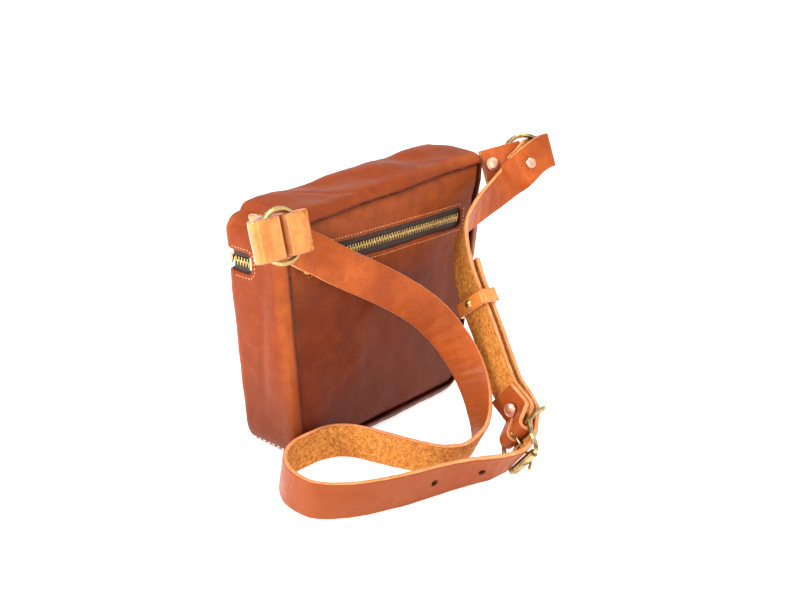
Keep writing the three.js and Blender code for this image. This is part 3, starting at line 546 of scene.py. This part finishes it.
def edge_wear(points):
    """1 on the pouch's rounded rims, where hands rub the wax off, and 0 on its flats."""
    x, y, z = points.T
    to_side = half_width(z) - np.abs(x)
    to_face = half_depth - np.abs(y)
    to_end = np.minimum(pouch_top - z, z - pouch_low.z)
    near = np.sort(np.stack([to_side, to_face, to_end]), axis=0)
    return np.clip(1 - near[1] / (7 * MM), 0, 1)


def back_seam_tree():
    """The back panel's outer edge: its narrow faces, without those round the pocket zip's slot."""
    panel = joined("back_seam_guide", ["back_panel"], BACK)
    mesh = panel.data
    slot_low, slot_high = pocket_low.z - 6 * MM, pocket_high.z + 6 * MM
    around = [
        p.index for p in mesh.polygons
        if abs(p.normal.y) < 0.5 and not (slot_low < p.center.z < slot_high and abs(p.center.x) < 82 * MM)]
    tree = tree_of(mesh, around)
    bpy.data.objects.remove(panel)
    return tree


BACK_SEAM = back_seam_tree()
shell = leather_piece(
    "pouch_shell",
    ["front_panel", "front_top_panel", "top_panel", "bottom_panel", "side_gusset_left", "side_gusset_right"],
    BAG, "bag_leather", relax=3, rim=1.2 * MM)
back = leather_piece(
    "back_leather_panel", ["back_panel"], BACK, "back_leather", relax=2, rim=-1.5 * MM, painted_top_light=0.5)

lining = joined("pocket_bag", ["pocket_lining"], LINING)
remeshed(lining, LINING_VOXEL)
stands_for(lining, ["pocket_lining"], "lining")

tape_names = [f"{zip_name}_zip_tape_{edge}" for zip_name in ("main", "pocket") for edge in ("upper", "lower")]
for tape_name in tape_names:
    tape = joined(tape_name + "_woven", [tape_name], TAPE)
    remeshed(tape, TAPE_VOXEL)
    ripple = wavelets(points_of(tape), 9 * MM, 0.1 * MM, 5)
    set_points(tape, points_of(tape) + normals_of(tape) * ripple[:, None])
    stands_for(tape, [tape_name], "zip_tape")


# ---------------------------------------------------------------- straps
def strap_faces(mesh, thickness, grain_point):
    """The faces of the strap's smooth side, of its rough side, of its edges, and of its punched holes."""
    tree = tree_of(mesh)
    shape = bmesh.new()
    shape.from_mesh(mesh)
    shape.faces.ensure_lookup_table()
    broad = set()
    for face in shape.faces:
        start = face.calc_center_median().lerp(face.verts[0].co, 0.13) - face.normal * 0.05 * MM
        through = tree.ray_cast(start, -face.normal)[3]
        if through is not None and through < 1.8 * thickness:
            broad.add(face.index)
    wide = [i for i in broad if shape.faces[i].calc_area() > 8e-6]
    grain_seed = min(wide, key=lambda i: (shape.faces[i].calc_center_median() - grain_point).length)
    seed = shape.faces[grain_seed]
    flesh_seed = tree.find_nearest(seed.calc_center_median() - seed.normal * thickness)[2]
    grain, flesh = grown_sides(shape, broad, grain_seed, flesh_seed)
    edges, holes = [], []
    for group in connected(shape, set(range(len(shape.faces))) - broad, math.radians(40)):
        corners = [v.co for i in group for v in shape.faces[i].verts]
        spread = max((corner - corners[0]).length for corner in corners)
        if spread < 7 * MM and len(group) > 8:
            holes += group
        elif total_area(shape, group) > 6e-5:
            edges += group
    shape.free()
    return grain, flesh, edges, holes


def grown_sides(shape, broad, grain_seed, flesh_seed):
    """Grows both broad sides from their seeds, always over the flattest bend that is left."""
    waiting = [(0.0, grain_seed, 0), (0.0, flesh_seed, 1)]
    owner = {}
    while waiting:
        bend, here, side = heapq.heappop(waiting)
        if here in owner:
            continue
        owner[here] = side
        face = shape.faces[here]
        for edge in face.edges:
            for other in edge.link_faces:
                if other.index in broad and other.index not in owner:
                    sharpest = max(bend, face.normal.angle(other.normal, 0))
                    heapq.heappush(waiting, (sharpest, other.index, side))
    return [[i for i in owner if owner[i] == side] for side in (0, 1)]


def total_area(shape, group):
    """The area of a group of faces."""
    return sum(shape.faces[i].calc_area() for i in group)


def connected(shape, allowed, limit):
    """The allowed faces in groups that share mesh edges and meet at less than the limit angle."""
    left, groups = set(allowed), []
    while left:
        waiting = [left.pop()]
        group = []
        while waiting:
            here = waiting.pop()
            group.append(here)
            face = shape.faces[here]
            for other in [other for edge in face.edges for other in edge.link_faces]:
                if other.index in left and other.normal.angle(face.normal, 0) < limit:
                    left.remove(other.index)
                    waiting.append(other.index)
        groups.append(group)
    return groups


def strap_piece(name, node_name, grain_point, thickness=STRAP_THICKNESS, lined=None, beside=()):
    """A strap with its sides told apart: the broad side nearest grain_point is the smooth one.
    lined is a (middle, radius) within which both sides are smooth and painted paler as a highlight,
    and the strap is painted darker, as shade, in the hollows where it touches the nodes beside it."""
    obj = joined(name, [node_name], STRAP)
    source = obj.data.copy()
    grain, flesh, edges, holes = strap_faces(source, thickness, grain_point)
    broad = [tree_of(source, grain), tree_of(source, flesh)]
    remeshed(obj, STRAP_VOXEL, 0, 1)
    places = [vertex.co for vertex in obj.data.vertices]
    gaps = [[tree.find_nearest(place)[3] for tree in broad] for place in places]
    rough = np.array([float(to_flesh < to_grain) for to_grain, to_flesh in gaps])
    # The lined region is smooth on both sides, and its grain side is painted paler as a highlight.
    if lined is not None:
        away = np.linalg.norm(points_of(obj) - np.array(lined[0]), axis=1)
        rough *= away > lined[1]
        paint(obj, "lined", away < lined[1])
    paint(obj, "flesh", rough)
    paint(obj, "rim", nearness(tree_of(source, edges), places, RIM_REACH))
    # Mask of the painted shade where the strap nearly touches the nodes beside it.
    paint(obj, "contact_shade", hollows(places, beside))
    paint(obj, "hole", nearness(tree_of(source, holes) if holes else None, places, HOLE_REACH))
    ripple = wavelets(points_of(obj), 12 * MM, 0.16 * MM, 9)
    found = points_of(obj) + normals_of(obj) * ripple[:, None]
    found[:, 2] = np.maximum(found[:, 2], FLOOR_GAP)
    set_points(obj, found)
    return stands_for(obj, [node_name], "strap_leather")


def hollows(places, beside):
    """How near each place is to the closest of the nodes beside it, as the mask of the painted contact shade.
    """
    found = np.zeros(len(places))
    for node_name in beside:
        node = nodes[node_name]
        corners = [node.matrix_world @ v.co for v in node.data.vertices]
        tree = BVHTree.FromPolygons(corners, [p.vertices for p in node.data.polygons])
        near = np.array(nearness(tree, places, HOLLOW_REACH))
        found = np.maximum(found, smooth_step(near, 0.2, 0.9))
    return found


camera_side = Vector((-0.4935, -0.4462, 0.3257))
ring_rivet_low, ring_rivet_high = node_box("buckle_strap_ring_rivet")
ring_rivet = ring_rivet_low.lerp(ring_rivet_high, 0.5)
before_loop = node_box("long_strap")[0] + Vector((0, 0, 12 * MM))
left_ring_low, left_ring_high = node_box("ring_left")
left_ring = left_ring_low.lerp(left_ring_high, 0.5)
off_ring_rivet = ring_rivet + (camera_side - ring_rivet).normalized() * 12 * MM
strap_piece("long_strap_leather", "long_strap", before_loop, lined=(left_ring, LINED_ROLL),
            beside=["anchor_tab_left", "ring_left"])
strap_piece("buckle_strap_leather", "buckle_strap", off_ring_rivet)
strap_piece("anchor_tab_left_leather", "anchor_tab_left", camera_side, lined=(left_ring, WHOLE_PIECE),
            beside=["long_strap", "ring_left"])
strap_piece("anchor_tab_right_leather", "anchor_tab_right", camera_side)
strap_piece("keeper_leather", "keeper_loop", camera_side, thickness=KEEPER_THICKNESS,
            lined=(left_ring, WHOLE_PIECE))


# ---------------------------------------------------------------- metal
METALS = {
    "main_zip_slider": BRASS, "main_zip_puller": BRASS,
    "pocket_zip_slider": BRASS, "pocket_zip_puller": BRASS,
    "main_zip_stop_left": PALE_METAL, "main_zip_stop_right": PALE_METAL,
    "long_strap_rivet": BRASS, "keeper_rivet": BRASS,
    "ring_left": BRASS, "ring_right": OLD_BRASS,
    "buckle_frame": OLD_BRASS, "buckle_roller": OLD_BRASS, "buckle_prong": OLD_BRASS,
    "tab_rivet_right": COPPER, "buckle_strap_ring_rivet": COPPER, "buckle_strap_fold_rivet": COPPER,
}
for node_name, material in METALS.items():
    node = nodes[node_name]
    node.data.materials.clear()
    node.data.materials.append(material)


def tooth_mesh(size):
    """A zip tooth about its middle: a small rounded block, long along z and wide along x."""
    shape = bmesh.new()
    bmesh.ops.create_cube(shape, size=1)
    bmesh.ops.scale(shape, verts=shape.verts, vec=size)
    bmesh.ops.bevel(shape, geom=shape.edges[:], offset=min(size) * 0.22, segments=1, affect="EDGES")
    shape.verts.ensure_lookup_table()
    found = [v.co.copy() for v in shape.verts]
    faces = [[v.index for v in face.verts] for face in shape.faces]
    shape.free()
    return found, faces


def teeth_along(name, way, node_name):
    """Two rows of teeth, each half a pitch from the other, along a way of (place, forward, out)."""
    block, block_faces = tooth_mesh((TOOTH["wide"], TOOTH["thick"], TOOTH["long"]))
    vertices, faces = [], []
    for index, (place, forward, out) in enumerate(way):
        offset = TOOTH["offset"] if index % 2 else -TOOTH["offset"]
        first = len(vertices)
        for corner in block:
            across = Vector((0, 0, corner.z + offset))
            vertices.append(place + forward * corner.x + out * corner.y + across)
        faces += [[first + i for i in face] for face in block_faces]
    obj = new_object(name, vertices, faces, BRASS)
    return stands_for(obj, [node_name], "brass")


def straight_way(start, end, out, pitch):
    """Places pitch apart from start to end, each with its forward and outward directions."""
    forward = (end - start).normalized()
    count = int((end - start).length / pitch)
    return [(start + forward * pitch * (i + 0.5), forward, out) for i in range(count)]


half_pitch = TOOTH["pitch"] / 2
pocket_middle = (pocket_low.z + pocket_high.z) / 2
pocket_y = (pocket_low.y + pocket_high.y) / 2
pocket_way = straight_way(
    Vector((pocket_low.x, pocket_y, pocket_middle)), Vector((pocket_high.x, pocket_y, pocket_middle)),
    Vector((0, -1, 0)), half_pitch)
teeth_along("pocket_zip_brass_teeth", pocket_way, "pocket_zip_teeth")


def around_front(low, high, radius, pitch):
    """The main zip's way: along one side, round the front corners, and back along the other side."""
    middle = (low.z + high.z) / 2
    inset = 0.9 * MM
    x0, x1, y1 = low.x + inset, high.x - inset, high.y - inset
    corners = [(Vector((x0 + radius, y1 - radius, middle)), math.pi),
               (Vector((x1 - radius, y1 - radius, middle)), math.pi / 2)]
    bend_y = y1 - radius
    way = straight_way(
        Vector((x0, low.y, middle)), Vector((x0, bend_y, middle)), Vector((-1, 0, 0)), pitch)
    count = int(radius * math.pi / 2 / pitch)
    straight = straight_way(Vector((x0 + radius, y1, middle)), Vector((x1 - radius, y1, middle)),
                            Vector((0, 1, 0)), pitch)
    for corner, (centre, start) in enumerate(corners):
        for step in range(count):
            angle = start - (step + 0.5) / count * math.pi / 2
            out = Vector((math.cos(angle), math.sin(angle), 0))
            way.append((centre + out * radius, Vector((out.y, -out.x, 0)), out))
        if corner == 0:
            way += straight
    way += straight_way(
        Vector((x1, bend_y, middle)), Vector((x1, low.y, middle)), Vector((1, 0, 0)), pitch)
    return way


main_way = around_front(main_low, main_high, ZIP_BEND, half_pitch)
teeth_along("main_zip_brass_teeth", main_way, "main_zip_teeth")


# ---------------------------------------------------------------- stitches
SHELL_TREE = tree_of(shell.data)
BACK_TREE = tree_of(back.data)


def dropped(point, direction, tree):
    """The first place on the surface that point meets going along direction, and the surface's normal."""
    place, normal, _, _ = tree.ray_cast(point - direction * 0.02, direction)
    return (place, normal) if place is not None else (None, None)


def stitch_rows(name, rows, material, slot, size=STITCH):
    """Thread stitches: each row is a list of (place, normal) along a seam."""
    vertices, faces = [], []
    for row in rows:
        steps = [r for r in row if r[0] is not None]
        step = size["length"] + size["space"]
        travelled, start = 0.0, None
        for (a, normal), (b, _) in zip(steps, steps[1:]):
            if start is None:
                start = (a, normal)
            travelled += (b - a).length
            if travelled >= step:
                add_stitch(vertices, faces, start, b, size)
                travelled, start = 0.0, None
    for vertex in vertices:
        vertex.z = max(vertex.z, FLOOR_GAP)
    obj = new_object(name, vertices, faces, material)
    return detail(obj, slot)


def add_stitch(vertices, faces, start, end, size):
    """One stitch: a short thread whose ends dip into the leather."""
    a, normal = start
    forward = (end - a).normalized()
    side = forward.cross(normal).normalized()
    middle = (a + end) / 2 + normal * size["sunk"]
    first = len(vertices)
    for ring in range(THREAD_RINGS):
        share = ring / (THREAD_RINGS - 1) * 2 - 1
        radius = size["radius"] * math.sqrt(max(0.12, 1 - share ** 4))
        centre = middle + forward * share * size["length"] / 2 - normal * size["radius"] * share ** 2
        for corner in range(THREAD_SIDES):
            angle = corner / THREAD_SIDES * 2 * math.pi
            vertices.append(centre + side * radius * math.cos(angle) + normal * radius * math.sin(angle))
    for ring in range(THREAD_RINGS - 1):
        for corner in range(THREAD_SIDES):
            here = first + ring * THREAD_SIDES + corner
            beside = first + ring * THREAD_SIDES + (corner + 1) % THREAD_SIDES
            faces.append([here, beside, beside + THREAD_SIDES, here + THREAD_SIDES])
    last = first + (THREAD_RINGS - 1) * THREAD_SIDES
    faces.append([first + i for i in range(THREAD_SIDES)])
    faces.append([last + i for i in reversed(range(THREAD_SIDES))])


def walk(corners, direction, tree):
    """Places on a surface that a path through these corners meets going along direction."""
    found = []
    for a, b in zip(corners, corners[1:]):
        count = max(1, int((b - a).length / THREAD_STEP))
        found += [dropped(a.lerp(b, i / count), direction, tree) for i in range(count)]
    found.append(dropped(corners[-1], direction, tree))
    return found


INWARD = Vector((0, 1, 0))
pocket_slot_half = 7.25 * MM
pocket_end = 79 * MM
pocket_rows = []
for side in (-1, 1):
    z = pocket_middle + side * (pocket_slot_half + SEAM_INSET)
    ends = [Vector((-pocket_end, back_y, z)), Vector((pocket_end, back_y, z))]
    pocket_rows.append(walk(ends, INWARD, BACK_TREE))
for side in (-1, 1):
    x = side * (pocket_end + SEAM_INSET)
    ends = [Vector((x, back_y, pocket_middle + end * pocket_slot_half)) for end in (-1, 1)]
    pocket_rows.append(walk(ends, INWARD, BACK_TREE))
stitch_rows("pocket_stitches", pocket_rows, TAN_THREAD, "bag_leather")

main_middle = (main_low.z + main_high.z) / 2
main_slot_half = 7.0 * MM
slot_corner = 4 * MM
slot_back = -0.5 * MM - SEAM_INSET
upper, lower = main_middle + main_slot_half + SEAM_INSET, main_middle - main_slot_half - SEAM_INSET
round_slot = [
    (18 * MM, upper), (slot_back + slot_corner, upper), (slot_back, upper - slot_corner),
    (slot_back, lower + slot_corner), (slot_back + slot_corner, lower), (18 * MM, lower)]
along_base = [(-21 * MM, 8 * MM), (21 * MM, 8 * MM)]
side_rows, bottom_rows = [], []
for x, way in ((left_x, Vector((1, 0, 0))), (right_x, Vector((-1, 0, 0)))):
    side_rows.append(walk([Vector((x, y, z)) for y, z in round_slot], way, SHELL_TREE))
    bottom_rows.append(walk([Vector((x, y, z)) for y, z in along_base], way, SHELL_TREE))
for z in (lower, upper):
    ends = [Vector((-96 * MM, front_y, z)), Vector((96 * MM, front_y, z))]
    side_rows.append(walk(ends, -INWARD, SHELL_TREE))
stitch_rows("main_zip_stitches", side_rows, TAN_THREAD, "bag_leather")
stitch_rows("bottom_stitches", bottom_rows, PALE_THREAD, "bag_leather", BOTTOM_STITCH)


def zigzag(name, low_z, high_z, step, reach):
    """Dark thread that crosses the seam between the left gusset and the back panel, from side to side."""
    count = int((high_z - low_z) / step)
    places = []
    for i in range(count + 1):
        z = low_z + i * step
        seam_x = -half_width(z) + SEAM_TO_SIDE
        sideways, tree = (reach, BACK_TREE) if i % 2 else (-reach, SHELL_TREE)
        place, normal = dropped(Vector((seam_x + sideways, back_y, z)), INWARD, tree)
        if place is not None:
            places.append(place + normal * 0.2 * MM)
    curve = bpy.data.curves.new(name, "CURVE")
    curve.dimensions = "3D"
    curve.bevel_depth = ZIGZAG_RADIUS
    line = curve.splines.new("POLY")
    line.points.add(len(places) - 1)
    for point, place in zip(line.points, places):
        point.co = (*place, 1)
    curve.materials.append(DARK_THREAD)
    obj = bpy.data.objects.new(name, curve)
    bpy.context.scene.collection.objects.link(obj)
    return detail(obj, "bag_leather")


zigzag("seam_thread", 92 * MM, 132 * MM, 1.9 * MM, 1.1 * MM)


# ---------------------------------------------------------------- floor, light and camera
def area_light(name, place, aim, size, power):
    lamp = bpy.data.lights.new(name, "AREA")
    lamp.shape = "RECTANGLE"
    lamp.size, lamp.size_y = size
    lamp.energy = power
    obj = bpy.data.objects.new(name, lamp)
    obj.location = place
    obj.rotation_euler = (Vector(aim) - Vector(place)).to_track_quat("-Z", "Y").to_euler()
    bpy.context.scene.collection.objects.link(obj)
    return obj


floor_shader = Shader("floor", roughness=0.6)
floor_tone = floor_shader.mix(floor_shader.noise(3, 2), (0.93, 0.93, 0.93, 1), (0.95, 0.95, 0.95, 1))
floor_material = floor_shader.finish(floor_tone, Emission_Color=(1, 1, 1, 1), Emission_Strength=0.62)
floor_corners = [(-ROOM, -ROOM), (ROOM, -ROOM), (ROOM, ROOM), (-ROOM, ROOM)]
floor = new_object("floor", [(x, y, -FLOOR_DROP) for x, y in floor_corners], [(0, 1, 2, 3)], floor_material)

backdrop_shader = Shader("backdrop", roughness=1.0)
backdrop_tone = backdrop_shader.mix(backdrop_shader.noise(2, 1), (0.99, 0.99, 0.99, 1), (1, 1, 1, 1))
backdrop_material = backdrop_shader.finish((0, 0, 0, 1), Emission_Strength=1.04)
backdrop_shader.link(backdrop_tone, backdrop_shader.surface.inputs["Emission Color"])
wall_corners = [(-ROOM, NEAR_WALL), (NEAR_WALL, NEAR_WALL), (NEAR_WALL, -ROOM), (-ROOM, -ROOM)]
backdrop = new_object(
    "backdrop", [(x, y, z) for z in (-0.1, WALL_HEIGHT) for x, y in wall_corners],
    [(i, (i + 1) % 4, (i + 1) % 4 + 4, i + 4) for i in range(4)], backdrop_material)

world = bpy.data.worlds.new("studio")
bpy.context.scene.world = world
world.use_nodes = True
world.node_tree.nodes["Background"].inputs["Color"].default_value = (1, 1, 1, 1)
world.node_tree.nodes["Background"].inputs["Strength"].default_value = 0.12

for light in LIGHTS:
    area_light(*light)

YAW, PITCH, ROLL = math.radians(50.2), math.radians(19.8), math.radians(1.45)
forward = Vector((math.sin(YAW) * math.cos(PITCH), math.cos(YAW) * math.cos(PITCH), -math.sin(PITCH)))
level = Vector((math.cos(YAW), -math.sin(YAW), 0))
upright = level.cross(forward)
right_hand = level * math.cos(ROLL) + upright * math.sin(ROLL)
overhead = upright * math.cos(ROLL) - level * math.sin(ROLL)
lens = bpy.data.cameras.new("camera")
lens.lens, lens.sensor_width = 45, 36
lens.clip_start, lens.clip_end = 0.01, 20
camera = bpy.data.objects.new("camera", lens)
turn = Matrix((right_hand, overhead, -forward)).transposed().to_4x4()
camera.matrix_world = Matrix.Translation(camera_side) @ turn
bpy.context.scene.collection.objects.link(camera)
bpy.context.scene.camera = camera
bpy.context.scene.view_settings.view_transform = "Standard"
